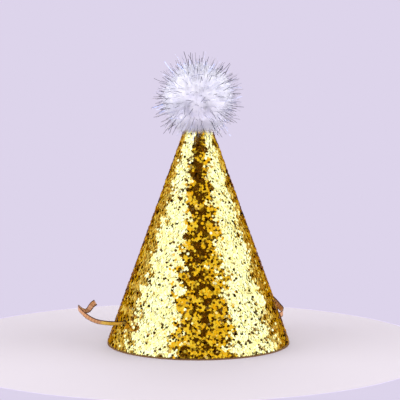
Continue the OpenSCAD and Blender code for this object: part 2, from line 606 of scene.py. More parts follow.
@dataclass(frozen=True)
class RoomWall:
    """Wall that the metal mirrors: warm and dark ahead, pale behind, two windows.

    Turns are in radians to the camera's right, and rises are heights on the
    sphere of directions, from 0 at the level to 1 overhead.
    """

    paper: Stops = ((0.44, from_srgb(255, 216, 44)), (0.54, from_srgb(250, 232, 118)))
    frame_glow: Colour = from_srgb(255, 216, 44)
    dark: Colour = from_srgb(72, 48, 12)
    side: Stops = ((0.43, from_srgb(196, 162, 88)), (0.52, from_srgb(255, 250, 222)))
    behind: Span = (-0.15, -0.4)
    window: Colour = (1.35, 1.75, 3.3)
    windows: tuple[Span, Span] = ((-1.79, -0.583), (0.86, 2.05))
    window_ease: float = 0.03
    window_ragged: float = 0.35
    window_foot: Span = (0.1, 0.16)
    window_head: Span = (0.74, 0.68)
    panel_foot: Span = (0.24, 0.3)
    panel_head: Span = (0.72, 0.68)
    door_middle: float = 0.1
    door_narrowing: float = 3.2
    door_rise: float = 0.5
    door_widening: float = 5.0
    door_depth: float = 0.13
    patch_edge: Span = (0.41, 0.44)
    patch_scale: float = 4.2
    paper_scale: float = 7.0
    ragged_scale: float = 9.0

    def make(self, right: np.ndarray, towards: np.ndarray) -> bpy.types.Material:
        """Builds the wall by the direction in which each place of it lies.

        Args:
            right: Level direction to the camera's right.
            towards: Level direction to the camera.

        Returns:
            The material.
        """
        material, tree, _ = new_material("room_wall")
        way = tree.vector("NORMALIZE", tree.place())
        aside = tree.vector("DOT_PRODUCT", way, right.tolist())
        ahead = tree.vector("DOT_PRODUCT", way, towards.tolist())
        rise = tree.split(way)[2]
        patches = tree.noise(way, self.patch_scale, 2.0)
        clear = self.clear_of_door(tree, patches, aside, rise)
        panel = tree.between(rise, self.panel_foot, self.panel_head)
        warm = tree.ramp(tree.noise(way, self.paper_scale, 2.0), self.paper)
        front = tree.mix(tree.math("MULTIPLY", panel, clear), self.dark, warm)
        wall = tree.mix(
            tree.fade(ahead, *self.behind), front, tree.ramp(patches, self.side)
        )
        turn = tree.math("ARCTAN2", aside, ahead)
        ragged = tree.math("SUBTRACT", tree.noise(way, self.ragged_scale), 0.5)
        ragged = tree.math("MULTIPLY", ragged, self.window_ragged)
        pane = self.panes(tree, tree.math("ADD", turn, ragged), rise)
        glass = tree.mix(pane, self.frame_glow, self.window)
        tree.show(tree.glow(tree.mix(pane, wall, glass)))
        return material

    def clear_of_door(
        self, tree: ShaderTree, patches: object, aside: object, rise: object
    ) -> object:
        """Where the wall is clear of the doorway and the dark furniture.

        Args:
            tree: The wall's tree.
            patches: Noise whose low stretches are the furniture.
            aside: Share of the direction that lies to the right.
            rise: Share of the direction that lies upwards.

        Returns:
            Socket that is 1 where the wall is clear and 0 where it is dark.
        """
        off_middle = tree.math("ABSOLUTE", tree.math("SUBTRACT", aside, self.door_middle))
        narrowing = tree.math("MULTIPLY", off_middle, self.door_narrowing)
        higher = tree.math("SUBTRACT", rise, self.door_rise)
        widening = tree.math("MULTIPLY", higher, self.door_widening)
        door = tree.math("ADD", tree.math("SUBTRACT", 1.0, narrowing), widening)
        door = tree.math("MAXIMUM", door, 0.0)
        shade = tree.math("SUBTRACT", patches, tree.math("MULTIPLY", door, self.door_depth))
        return tree.fade(shade, *self.patch_edge, Fade.EVEN)

    def panes(self, tree: ShaderTree, turn: object, rise: object) -> object:
        """Where the windows are.

        Args:
            tree: The wall's tree.
            turn: Socket of the ragged turn.
            rise: Share of the direction that lies upwards.

        Returns:
            Socket that is 1 in a window and 0 beside it.
        """
        ease = self.window_ease
        panes = [
            tree.between(turn, (first - ease, first + ease), (last + ease, last - ease))
            for first, last in self.windows
        ]
        upright = tree.between(rise, self.window_foot, self.window_head)
        return tree.math("MULTIPLY", tree.math("MAXIMUM", *panes), upright)


@dataclass(frozen=True)
class RoomCeiling:
    """Dim ceiling that the metal mirrors."""

    dark: Colour = from_srgb(72, 48, 12)
    light: Colour = from_srgb(104, 78, 36)
    cloud: float = 1.5

    def make(self) -> bpy.types.Material:
        """Builds the ceiling with a slow change of tone.

        Returns:
            The material.
        """
        material, tree, _ = new_material("room_ceiling")
        cloud = tree.noise(tree.place(), self.cloud)
        tree.show(tree.glow(tree.mix(cloud, self.dark, self.light)))
        return material


@dataclass(frozen=True)
class PaleFloor:
    """Pale round of floor that fades into the backdrop's colour."""

    backdrop: Colour
    colour: Colour = from_srgb(192, 187, 182)
    radius: float = 124.1 * MM
    # Place of the round's middle to the camera's right and towards the camera
    middle: Span = (-7 * MM, 7.3 * MM)
    ease: float = 1 * MM
    roughness: float = 0.7
    shine: float = 0.2

    def make(self, right: np.ndarray, towards: np.ndarray) -> bpy.types.Material:
        """Builds the floor, whose shadow stays and whose rim melts away.

        Args:
            right: Level direction to the camera's right.
            towards: Level direction to the camera.

        Returns:
            The material.
        """
        material, tree, surface = new_material("floor")
        place = tree.place()
        flat = tree.add("CombineXYZ")
        for socket, way, middle in zip(flat.inputs, (right, towards), self.middle):
            along = tree.vector("DOT_PRODUCT", place, way.tolist())
            tree.feed(socket, tree.math("SUBTRACT", along, middle))
        from_middle = tree.vector("LENGTH", flat.outputs[0])
        beyond = tree.fade(from_middle, self.radius - self.ease, self.radius + self.ease)
        tree.fill(surface, {
            "Base Color": tree.mix(beyond, self.colour, self.backdrop),
            "Roughness": self.roughness,
            "Specular IOR Level": self.shine,
        })
        rays = tree.add("LightPath").outputs
        seen = rays["Is Camera Ray"]
        for kind in ("Is Glossy Ray", "Is Transmission Ray"):
            seen = tree.math("MAXIMUM", seen, rays[kind])
        choose = tree.add("MixShader")
        tree.feed(choose.inputs[0], tree.math("MULTIPLY", beyond, seen))
        tree.feed(choose.inputs[1], surface.outputs[0])
        tree.feed(choose.inputs[2], tree.glow(self.backdrop))
        tree.show(choose.outputs[0])
        return material


def place_piece(
    name: str, points: np.ndarray, faces: Faces, material: bpy.types.Material
) -> bpy.types.Object:
    """Makes an object of points and flat faces, its place in its mesh.

    Args:
        name: The piece's name.
        points: One point a row.
        faces: The points of each face.
        material: The piece's finish.

    Returns:
        The new object.
    """
    mesh = bpy.data.meshes.new(name)
    mesh.from_pydata(points.tolist(), [], faces)
    mesh.update()
    mesh.materials.append(material)
    piece = bpy.data.objects.new(name, mesh)
    bpy.context.scene.collection.objects.link(piece)
    return piece


def set_tone(piece: bpy.types.Object, tones: np.ndarray) -> None:
    """Writes one number a point, from 0 to 1, which the finishes read as tone."""
    layer = piece.data.attributes.new("tone", "FLOAT", "POINT")
    layer.data.foreach_set("value", tones.astype(np.float32).ravel())


@dataclass
class Pattern:
    """A small shape modelled once, of which a piece holds many copies."""

    points: np.ndarray
    faces: Faces

    @classmethod
    def take(cls, model: bpy.types.Object) -> "Pattern":
        """Reads a modelled shape and removes its object.

        Args:
            model: The modelled shape.

        Returns:
            The pattern.
        """
        mesh = model.data
        points = np.array([v.co for v in mesh.vertices])
        faces = [tuple(p.vertices) for p in mesh.polygons]
        bpy.data.objects.remove(model)
        bpy.data.meshes.remove(mesh)
        return cls(points, faces)

    def copies(self, placed: np.ndarray) -> tuple[np.ndarray, Faces]:
        """Points and faces of all copies.

        Args:
            placed: The shape's points for each copy, as copies by points by three.

        Returns:
            All points, one a row, and all faces.
        """
        step = len(self.points)
        faces = [
            tuple(first + k for k in face)
            for first in range(0, step * len(placed), step)
            for face in self.faces
        ]
        return placed.reshape(-1, 3), faces


def model_spike(sides: int, tip: float) -> Pattern:
    """One closed spike: a flat polygon of radius one drawn out to a point.

    Args:
        sides: Number of the polygon's sides.
        tip: Height of the point above the polygon, below zero for a point below.

    Returns:
        The spike.
    """
    clear_selection()
    bpy.ops.mesh.primitive_circle_add(vertices=sides, radius=1.0, fill_type="NGON")
    bpy.ops.object.mode_set(mode="EDIT")
    bpy.ops.mesh.select_all(action="SELECT")
    bpy.ops.mesh.extrude_region_move(TRANSFORM_OT_translate={"value": (0, 0, tip)})
    bpy.ops.mesh.merge(type="CENTER")
    bpy.ops.object.mode_set(mode="OBJECT")
    turn_outwards(bpy.context.object)
    return Pattern.take(bpy.context.object)


def model_strand() -> Pattern:
    """One flat strand of length one along Z, one wide and one thick, with two bends.

    Returns:
        The strand.
    """
    clear_selection()
    bpy.ops.mesh.primitive_cube_add(size=1.0, location=(0, 0, 0.5))
    bpy.ops.object.transform_apply(location=True)
    bpy.ops.object.mode_set(mode="EDIT")
    for height in (1 / 3, 2 / 3):
        bpy.ops.mesh.select_all(action="SELECT")
        bpy.ops.mesh.bisect(plane_co=(0, 0, height), plane_no=(0, 0, 1))
    bpy.ops.object.mode_set(mode="OBJECT")
    return Pattern.take(bpy.context.object)


@dataclass(frozen=True)
class ConeForm:
    """The rolled sheet: its sizes, and places on its outer face."""

    base_radius: float = 45 * MM
    apex_height: float = 124 * MM
    sheet: float = 0.8 * MM
    lap_width: float = 8 * MM
    hole_height: float = 13 * MM
    hole_radius: float = 1.7 * MM

    @property
    def lean(self) -> float:
        """Angle between the wall and the axis."""
        return math.atan(self.base_radius / self.apex_height)

    @property
    def level_sheet(self) -> float:
        """Thickness of the wall measured level."""
        return self.sheet / math.cos(self.lean)

    @property
    def top(self) -> float:
        """Height of the open tip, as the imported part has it."""
        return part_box("cone")[1][2]

    def radius(self, height: np.ndarray) -> np.ndarray:
        """Outer radius of the sheet's inner layer at a height."""
        return self.base_radius * (1 - height / self.apex_height)

    def on_card(
        self, turn: np.ndarray, height: np.ndarray
    ) -> tuple[np.ndarray, np.ndarray]:
        """Places on the card's outer face.

        Args:
            turn: Angles about the axis from the seam, in radians up to a full turn.
            height: Heights above the base.

        Returns:
            The places and the outward normals, one a row.
        """
        centre = np.where(turn > math.pi, self.level_sheet / 2, 0.0)
        lap = turn < self.lap_width / self.base_radius
        reach = self.radius(height) + np.where(lap, self.level_sheet, centre)
        x, y = centre + reach * np.cos(turn), reach * np.sin(turn)
        places = np.stack(
            [-y - self.level_sheet / 4, x - self.level_sheet / 2, height], axis=1
        )
        level = math.cos(self.lean)
        rise = np.full_like(turn, math.sin(self.lean))
        normals = np.stack([-np.sin(turn) * level, np.cos(turn) * level, rise], axis=1)
        return places, normals

    def exit_of(self, side: Side) -> np.ndarray:
        """Point on the card's outer face at a tie's hole.

        Args:
            side: The hole's side.

        Returns:
            The point.
        """
        out = self.radius(self.hole_height) + self.level_sheet / 4
        back = -self.level_sheet / 2 if side is Side.LEFT else 0.0
        return np.array([side.value * out, back, self.hole_height])


@dataclass
class GlitterLayer:
    """The dense layer of flakes on the card, in three bands of height."""

    form: ConeForm
    count: int = 33000
    seed: int = 11
    flake_radius: float = 0.61 * MM
    flake_depth: float = 0.18
    sizes: Span = (0.78, 1.2)
    lowest: float = 1.1 * MM
    top_height: float = 110 * MM
    splits: Span = (22 * MM, 50 * MM)
    shake: float = 0.35
    lifts: Span = (0.1 * MM, 0.32 * MM)
    lie_flat: float = math.radians(1.2)
    standing_share: float = 0.15
    standing_angles: Span = (math.radians(5), math.radians(14))
    standing_size: float = 1.12
    standing_lift: float = 0.42 * MM
    level_share: float = 0.8
    floor_gap: float = 0.05 * MM
    hole_margin: float = 0.2 * MM
    # Lean and length of the waves by which patches of flakes shine alike
    ripples: tuple[Span, Span] = (
        (math.radians(1.2), 9 * MM), (math.radians(2.0), 4.2 * MM)
    )
    waves: int = 5
    wave_lengths: Span = (0.7, 1.5)

    def build(self, material: bpy.types.Material) -> list[bpy.types.Object]:
        """Scatters the flakes over the card.

        Args:
            material: The flakes' finish.

        Returns:
            The pieces, lower band first.
        """
        rng = np.random.default_rng(self.seed)
        pattern = model_spike(6, -self.flake_depth)
        turn, height = self.share_out(rng)
        places, normals = self.form.on_card(turn, height)
        stands = rng.random(self.count) < self.standing_share
        facing = self.lean(places, normals, stands, rng)
        placed = self.lay(pattern, places, facing, stands, rng)
        tone = rng.random(self.count)
        keep = self.clear_of_holes(places)
        pieces = []
        bands = np.digitize(height, self.splits)
        for band, name in enumerate(("glitter_lower", "glitter_middle", "glitter_upper")):
            chosen = keep & (bands == band)
            piece = place_piece(name, *pattern.copies(placed[chosen]), material)
            set_tone(piece, np.repeat(tone[chosen], len(pattern.points)))
            pieces.append(piece)
        return pieces

    def share_out(self, rng: np.random.Generator) -> tuple[np.ndarray, np.ndarray]:
        """Shares the flakes out evenly over the slanted wall, a little shaken.

        Args:
            rng: Source of the shake.

        Returns:
            The turn and the height of each flake.
        """
        n, apex = self.count, self.form.apex_height
        index = np.arange(n) + rng.uniform(-0.5, 0.5, n)
        share = np.clip((index + 0.5) / n, 0.0, 1.0)
        low, high = 1 - self.lowest / apex, 1 - self.top_height / apex
        height = apex * (1 - np.sqrt(low**2 - share * (low**2 - high**2)))
        spacing = self.shake * self.flake_radius
        turn = np.arange(n) * GOLDEN_ANGLE
        turn += rng.normal(0, 1, n) * spacing / self.form.radius(height)
        return turn % FULL_TURN, height

    def lean(
        self, places: np.ndarray, normals: np.ndarray, stands: np.ndarray,
        rng: np.random.Generator,
    ) -> np.ndarray:
        """Leans the flakes: most lie nearly flat and some stand out.

        Args:
            places: Place of each flake.
            normals: The card's normal there.
            stands: Whether each flake stands out.
            rng: Source of the leans.

        Returns:
            The direction that each flake faces.
        """
        first, second = side_of(normals)
        steep = rng.uniform(*self.standing_angles, self.count)
        flat = np.abs(rng.normal(0, self.lie_flat, self.count))
        tilt = np.where(stands, steep, flat)
        way = rng.uniform(0, FULL_TURN, self.count)
        level = np.where(stands, self.level_share, 1.0)
        lean_level = tilt * level * np.cos(way) + self.ripple(places, rng)
        lean_steep = tilt * np.sin(way) + self.ripple(places, rng)
        tilted = normals + first * lean_level[:, None]
        return unit_rows(tilted + second * lean_steep[:, None])

    def ripple(self, places: np.ndarray, rng: np.random.Generator) -> np.ndarray:
        """Slow change of lean over the card.

        Args:
            places: One point a row.
            rng: Source of the ripples' directions.

        Returns:
            The lean at each place, in radians.
        """
        total = np.zeros(len(places))
        for lean, spread in self.ripples:
            for _ in range(self.waves):
                way = unit_rows(rng.normal(0, 1, (1, 3)))[0]
                length = spread * rng.uniform(*self.wave_lengths)
                phase = rng.uniform(0, FULL_TURN)
                total += lean * np.sin(places @ way * (FULL_TURN / length) + phase)
        return total

    def lay(
        self, pattern: Pattern, places: np.ndarray, facing: np.ndarray,
        stands: np.ndarray, rng: np.random.Generator,
    ) -> np.ndarray:
        """Lays each flake at its place, in its own size and turn.

        Args:
            pattern: The flake.
            places: Place of each flake.
            facing: The direction that each flake faces.
            stands: Whether each flake stands out.
            rng: Source of the sizes and turns.

        Returns:
            The points, as flakes by points by three.
        """
        n = self.count
        size = self.flake_radius * rng.uniform(*self.sizes, n)
        size = (size * np.where(stands, self.standing_size, 1.0))[:, None]
        lift = np.where(stands, self.standing_lift, rng.uniform(*self.lifts, n))
        spin = rng.uniform(0, FULL_TURN, n)[:, None]
        first, second = side_of(facing)
        x, y, z = pattern.points.T
        placed = points_along(
            places + facing * lift[:, None],
            ((x * np.cos(spin) - y * np.sin(spin)) * size, first),
            ((x * np.sin(spin) + y * np.cos(spin)) * size, second),
            (z * size, facing),
        )
        placed[:, :, 2] = np.maximum(placed[:, :, 2], self.floor_gap)
        return placed

    def clear_of_holes(self, places: np.ndarray) -> np.ndarray:
        """Finds the places that lie clear of both tie holes.

        Args:
            places: One point a row.

        Returns:
            True for each place that is clear.
        """
        clear = np.ones(len(places), bool)
        for side in Side:
            gap = np.linalg.norm(places - self.form.exit_of(side), axis=1)
            clear &= gap > self.form.hole_radius + self.hole_margin
        return clear


@dataclass
class Hairs:
    """Many copies of a hair, each with its own root, direction and sizes.

    A bend is how far the tip leans aside, as a share of the hair's length.
    """

    start: np.ndarray
    aim: np.ndarray
    length: np.ndarray
    wide: np.ndarray
    thin: np.ndarray
    bend: np.ndarray
    tone: np.ndarray

    def build(
        self, name: str, pattern: Pattern, rng: np.random.Generator,
        material: bpy.types.Material,
    ) -> bpy.types.Object:
        """Copies the hair along all directions.

        Args:
            name: The piece's name.
            pattern: The hair, one long along Z.
            rng: Source of each copy's spin.
            material: The piece's finish.

        Returns:
            The piece.
        """
        first, second = side_of(self.aim)
        spin = rng.uniform(0, FULL_TURN, len(self.start))[:, None]
        x, y, z = pattern.points.T
        placed = points_along(
            self.start,
            (z * self.length[:, None], self.aim),
            (z**2 * self.length[:, None], self.bend),
            (x * self.wide[:, None], first * np.cos(spin) + second * np.sin(spin)),
            (y * self.thin[:, None], second * np.cos(spin) - first * np.sin(spin)),
        )
        piece = place_piece(name, *pattern.copies(placed), material)
        set_tone(piece, np.repeat(np.clip(self.tone, 0, 1), len(pattern.points)))
        return piece


@dataclass
class Pompom:
    """Fluff ball with tinsel strands round the cone's tip.

    Directions are told by their height on the sphere, from -1 straight down.
    """

    form: ConeForm
    radius: float = 16 * MM
    seed: int = 23
    shake: float = 0.03
    mouth_angle: float = math.radians(27)
    skirt_degrees: Span = (0.5, 24)
    seat_width: float = 6.8 * MM
    seat_gap: float = 0.3 * MM
    least_normal: float = -0.3
    tufts: int = 34
    tuft_shake: float = 0.12
    tuft_fade: Span = (0.5, 0.8)
    tuft_rise: float = 0.4 * MM
    furrow: float = 0.8 * MM
    # How much darker the fluff is painted in the furrows between tufts, as shade
    painted_furrow_shade: float = 0.45
    core_radius: float = 15.2 * MM
    core_lump: float = 5 * MM
    core_swell: float = 1.4 * MM
    fibres: int = 41000
    skirt_fibres: int = 8000
    fibre_roots: Span = (13.4 * MM, 14.6 * MM)
    fibre_lengths: Span = (1.2 * MM, 7 * MM)
    fibre_thickness: Span = (0.05 * MM, 0.09 * MM)
    fibre_spread: tuple[float, float] = (1.5, 0.6 * MM)
    fibre_gather: float = 0.25
    fibre_stray: float = 0.16
    collar: float = 0.8 * MM
    collar_from: float = 0.84
    flank: float = 0.7 * MM
    flank_start: Span = (0.4, 0.6)
    flank_end: Span = (0.86, 0.76)
    strands: int = 840
    strand_roots: Span = (14.4 * MM, 15.4 * MM)
    strand_base: float = 3 * MM
    strand_spread: tuple[float, float] = (2.4, 1.2 * MM)
    strand_longest: float = 9 * MM
    strand_widths: Span = (0.12 * MM, 0.24 * MM)
    strand_thickness: float = 0.04 * MM
    wild_share: float = 0.3
    strays: Span = (0.35, 0.12)

    @property
    def centre(self) -> np.ndarray:
        """Centre of the ball, its radius below its packed top."""
        return np.array([0.0, 0.0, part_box("pompom_fluff")[1][2] - self.radius])

    def skirt(self, count: int, rng: np.random.Generator) -> np.ndarray:
        """Directions round the cone's tip, where the fluff hangs over the card.

        Args:
            count: Number of directions.
            rng: Source of the directions.

        Returns:
            One direction a row.
        """
        angle = self.mouth_angle + np.radians(rng.uniform(*self.skirt_degrees, count))
        return directions_at(rng.uniform(0, FULL_TURN, count), -np.cos(angle))

    def directions(self, count: int, rng: np.random.Generator) -> np.ndarray:
        """Even directions over the sphere, a little shaken.

        Args:
            count: Number of directions.
            rng: Source of the shake.

        Returns:
            One direction a row.
        """
        index = np.arange(count)
        even = directions_at(index * GOLDEN_ANGLE, 1 - (2 * index + 1) / count)
        return unit_rows(even + rng.normal(0, self.shake, (count, 3)))

    def clear_of_mouth(self, grow: np.ndarray) -> np.ndarray:
        """The directions of an array that don't run into the cone."""
        return grow[grow[:, 2] > -math.cos(self.mouth_angle)]

    def gather(self, grow: np.ndarray) -> tuple[np.ndarray, np.ndarray]:
        """Gathers directions into broad tufts.

        Args:
            grow: One direction a row.

        Returns:
            The heart of each direction's tuft, and how far out towards the
            furrow the direction lies, from 0 to 1.
        """
        rng = np.random.default_rng(self.seed + 2)
        hearts = self.directions(self.tufts, rng)
        hearts = unit_rows(hearts + rng.normal(0, self.tuft_shake, hearts.shape))
        near = grow @ hearts.T
        apart = np.arccos(np.clip(near.max(axis=1), -1, 1))
        reach = 2 / math.sqrt(self.tufts)
        low = share_between(-grow[:, 2], *self.tuft_fade)
        depth = (1 - low) * np.clip(apart / reach, 0, 1) ** 2
        return hearts[near.argmax(axis=1)], depth

    def build_core(self, material: bpy.types.Material) -> bpy.types.Object:
        """Models the dense middle of the ball, lumpy as packed fibre is.

        Args:
            material: The fluff's finish.

        Returns:
            The core.
        """
        clear_selection()
        bpy.ops.mesh.primitive_ico_sphere_add(
            subdivisions=5, radius=self.core_radius, location=self.centre.tolist()
        )
        core = bpy.context.object
        core.name = core.data.name = "fluff_core"
        lumps = bpy.data.textures.new("core_lumps", "CLOUDS")
        lumps.noise_scale = self.core_lump
        swell = core.modifiers.new("lumps", "DISPLACE")
        swell.texture = lumps
        swell.texture_coords = "GLOBAL"
        swell.strength = self.core_swell
        bpy.ops.object.modifier_apply(modifier=swell.name)
        bpy.ops.object.transform_apply(location=True)
        points = np.array([v.co for v in core.data.vertices])
        away = unit_rows(points - self.centre)
        _, depth = self.gather(away)
        points += away * (self.tuft_rise - self.furrow * depth)[:, None]
        seated = np.hypot(points[:, 0], points[:, 1]) < self.seat_width
        seat = self.form.top + self.seat_gap
        points[:, 2] = np.where(seated, np.maximum(points[:, 2], seat), points[:, 2])
        core.data.vertices.foreach_set("co", points.ravel())
        core.data.materials.append(material)
        # The core's tone is darker in the furrows between tufts: painted shade.
        set_tone(core, 1.0 - self.painted_furrow_shade * depth)
        self.soften(core)
        return core

    def build_fibres(self, material: bpy.types.Material) -> bpy.types.Object:
        """Grows the fluff, longer at random so that its edge is wispy.

        Args:
            material: The fluff's finish.

        Returns:
            The fibres.
        """
        rng = np.random.default_rng(self.seed)
        even = self.directions(self.fibres, rng)
        grow = np.vstack([even, self.skirt(self.skirt_fibres, rng)])
        grow = self.clear_of_mouth(grow)
        n = len(grow)
        heart, depth = self.gather(grow)
        gathered = grow + self.fibre_gather * (heart - grow)
        aim = unit_rows(gathered + rng.normal(0, self.fibre_stray, (n, 3)))
        start = self.centre + grow * rng.uniform(*self.fibre_roots, n)[:, None]
        reach = self.radius + self.tuft_rise + rng.gamma(*self.fibre_spread, n)
        below = -grow[:, 2]
        flank = share_between(below, *self.flank_start) * share_between(below, *self.flank_end)
        reach += self.collar * (below > self.collar_from)
        reach -= self.flank * flank + self.furrow * depth
        root = sum(self.fibre_roots) / 2
        bend = rng.normal(0, 0.1, (n, 3)) + [0, 0, -0.04]
        thick = rng.uniform(*self.fibre_thickness, n)
        # Tone darker in the furrows between tufts, a painted shade, plus a random spread from
        # fibre to fibre.
        tone = 1.0 - self.painted_furrow_shade * depth + rng.normal(0, 0.08, n)
        hairs = Hairs(
            start, aim, np.clip(reach - root, *self.fibre_lengths), thick, thick, bend, tone
        )
        piece = hairs.build("fluff_fibres", model_spike(3, 1.0), rng, material)
        self.soften(piece)
        return piece

    def soften(self, piece: bpy.types.Object) -> None:
        """Turns shading normals out from the ball's centre, as fluff scatters light.

        Args:
            piece: The core or the fibres.
        """
        mesh = piece.data
        mesh.polygons.foreach_set("use_smooth", [True] * len(mesh.polygons))
        points = np.array([v.co for v in mesh.vertices])
        away = unit_rows(points - self.centre)
        away[:, 2] = np.maximum(away[:, 2], self.least_normal)
        mesh.normals_split_custom_set_from_vertices(unit_rows(away).tolist())

    def build_strands(self, material: bpy.types.Material) -> bpy.types.Object:
        """Grows the tinsel, each strand flat, narrow and slightly bent.

        Args:
            material: The tinsel's finish.

        Returns:
            The strands.
        """
        rng = np.random.default_rng(self.seed + 1)
        grow = self.clear_of_mouth(self.directions(self.strands, rng))
        n = len(grow)
        stray = np.where(rng.random(n) < self.wild_share, *self.strays)
        aim = unit_rows(grow + rng.normal(0, 1, (n, 3)) * stray[:, None])
        start = self.centre + grow * rng.uniform(*self.strand_roots, n)[:, None]
        length = self.strand_base + rng.gamma(*self.strand_spread, n)
        bend = rng.normal(0, 0.08, (n, 3)) + [0, 0, -0.03]
        wide = rng.uniform(*self.strand_widths, n)
        thin = np.full(n, self.strand_thickness)
        length = np.clip(length, 0, self.strand_longest)
        hairs = Hairs(start, aim, length, wide, thin, bend, rng.random(n))
        return hairs.build("tinsel_strands", model_strand(), rng, material)


@dataclass
class RibbonTie:
    """One short ribbon tie, knotted inside the hat and stiff enough to stand out.

    Each point of the route is an offset in millimetres from the hole's outer
    edge, away from the hat, towards the back and up, and the ribbon's tilt.
    """

    form: ConeForm
    side: Side
    route: tuple[tuple[float, float, float, float], ...]
    map_start: float
    width: float = 3 * MM
    thickness: float = 0.3 * MM
    cup: float = 0.12
    section_shares: tuple[float, ...] = (-1.0, -0.8, -0.4, 0.0, 0.4, 0.8, 1.0)
    rings_per_stretch: int = 5
    knot_gap: float = 0.1 * MM
    # Depth behind the card, radius, thickness and lean of each wrap of the knot
    wraps: tuple[tuple[float, float, float, float], ...] = (
        (0.8 * MM, 1.75 * MM, 0.78 * MM, 0.0), (2.1 * MM, 1.6 * MM, 0.72 * MM, 0.5)
    )
    heart_depth: float = 1.6 * MM
    heart_radius: float = 1.5 * MM
    end_depth: float = 4.6 * MM
    end_drop: float = 0.8 * MM
    end_length: float = 5 * MM

    def outward(self) -> np.ndarray:
        """The card's outward normal at the tie's hole."""
        lean = self.form.lean
        return np.array([self.side.value * math.cos(lean), 0.0, math.sin(lean)])

    def knot_seat(self) -> np.ndarray:
        """Point inside the card against which the knot is drawn."""
        depth = self.form.sheet + self.knot_gap
        return self.form.exit_of(self.side) - depth * self.outward()

    def path(self) -> np.ndarray:
        """Points and tilts that the ribbon follows, from the knot outwards.

        Returns:
            Three places and a tilt a row.
        """
        leave = self.form.exit_of(self.side)
        tilt = self.route[0][3]
        outer = leave + self.thickness * self.outward()
        rows = [(*self.knot_seat(), tilt), (*outer, tilt)]
        for out, back, up, lean in self.route:
            offset = np.array([self.side.value * out, back, up]) * MM
            rows.append((*(leave + offset), lean))
        return np.array(rows)

    def smooth_path(self) -> np.ndarray:
        """The path as a smooth curve through its points, with many rings.

        Returns:
            Three places and a tilt a row.
        """
        rows = self.path()
        padded = np.vstack([2 * rows[0] - rows[1], rows, 2 * rows[-1] - rows[-2]])
        steps = np.linspace(0, 1, self.rings_per_stretch, endpoint=False)
        curve = [
            catmull(padded[k : k + 4], t) for k in range(len(rows) - 1) for t in steps
        ]
        return np.array([*curve, rows[-1]])

    def build(self, material: bpy.types.Material) -> bpy.types.Object:
        """Sweeps the ribbon's flat section along its path, with a map for the weave.

        Args:
            material: The ribbon's finish.

        Returns:
            The ribbon.
        """
        rows = self.smooth_path()
        places, tilts = rows[:, :3], np.radians(rows[:, 3:])
        along = unit_rows(np.gradient(places, axis=0))
        level = unit_rows(np.cross([[0.0, 0.0, 1.0]], along))
        upright = np.cross(along, level)
        across = level * np.cos(tilts) + upright * np.sin(tilts)
        section = self.section()
        points = points_along(
            places, (section[None, :, 0], across), (section[None, :, 1], np.cross(along, across))
        )
        n, count = len(section), len(places)
        faces = [
            (r * n + k, (r + 1) * n + k, (r + 1) * n + (k + 1) % n, r * n + (k + 1) % n)
            for r in range(count - 1)
            for k in range(n)
        ]
        faces += [tuple(range(n)), tuple(range(count * n - 1, count * n - n - 1, -1))]
        name = f"ribbon_{self.side.name.lower()}"
        piece = place_piece(name, points.reshape(-1, 3), faces, material)
        turn_outwards(piece)
        bpy.ops.object.shade_smooth_by_angle(angle=math.radians(40))
        self.add_map(piece, section, places)
        return piece

    def section(self) -> np.ndarray:
        """Flat section with eased edges, slightly cupped.

        Returns:
            The section's points, across and through the ribbon, one a row.
        """
        half = self.width / 2
        shares = np.array(self.section_shares)
        cup = self.cup * half * shares**2
        deep = self.thickness / 2 * np.minimum(1, 3 * (1.1 - abs(shares)))
        upper = np.stack([half * shares, cup + deep], axis=1)
        lower = np.stack([half * shares, cup - deep], axis=1)
        return np.vstack([upper, lower[::-1]])

    def add_map(
        self, piece: bpy.types.Object, section: np.ndarray, places: np.ndarray
    ) -> None:
        """Gives the ribbon its map: U across from 0 to 1, V along in metres.

        Args:
            piece: The ribbon.
            section: The points of its section.
            places: The middle of each of its rings.
        """
        steps = np.linalg.norm(np.diff(places, axis=0), axis=1)
        lengths = np.concatenate([[0.0], np.cumsum(steps)])
        n = len(section)
        mesh = piece.data
        corner = np.empty(len(mesh.loops), np.int32)
        mesh.loops.foreach_get("vertex_index", corner)
        across = section[corner % n, 0] / self.width + 0.5
        along = self.map_start + lengths[corner // n]
        layer = mesh.uv_layers.new(name="ribbon")
        layer.data.foreach_set("uv", np.stack([across, along], axis=1).ravel())

    def build_knot(self, material: bpy.types.Material) -> bpy.types.Object:
        """Models the stopper knot: two tight wraps, a heart and the ribbon's end.

        Args:
            material: The ribbon's finish.

        Returns:
            The knot.
        """
        seat = Vector(self.knot_seat())
        inwards = Vector(-self.outward())
        turned = inwards.to_track_quat("Z", "X").to_euler()
        clear_selection()
        parts = []
        for depth, ring, tube, lean in self.wraps:
            bpy.ops.mesh.primitive_torus_add(
                location=seat + inwards * depth,
                rotation=(turned.x + lean, turned.y, turned.z),
                major_radius=ring, minor_radius=tube,
                major_segments=28, minor_segments=12,
            )
            parts.append(bpy.context.object)
        bpy.ops.mesh.primitive_uv_sphere_add(
            segments=20, ring_count=12, radius=self.heart_radius,
            location=seat + inwards * self.heart_depth,
        )
        parts.append(bpy.context.object)
        bpy.ops.mesh.primitive_cube_add(
            size=1.0,
            location=seat + inwards * self.end_depth - Vector((0, 0, self.end_drop)),
            rotation=(turned.x, turned.y + 0.5, turned.z),
            scale=(self.width * 0.9, self.thickness, self.end_length),
        )
        parts.append(bpy.context.object)
        clear_selection()
        for part in parts:
            part.select_set(True)
        bpy.context.view_layer.objects.active = parts[0]
        bpy.ops.object.join()
        knot = bpy.context.object
        bpy.ops.object.transform_apply(location=True, rotation=True, scale=True)
        bpy.ops.object.shade_smooth_by_angle(angle=math.radians(50))
        knot.name = knot.data.name = f"ribbon_knot_{self.side.name.lower()}"
        knot.data.materials.clear()
        knot.data.materials.append(material)
        return knot


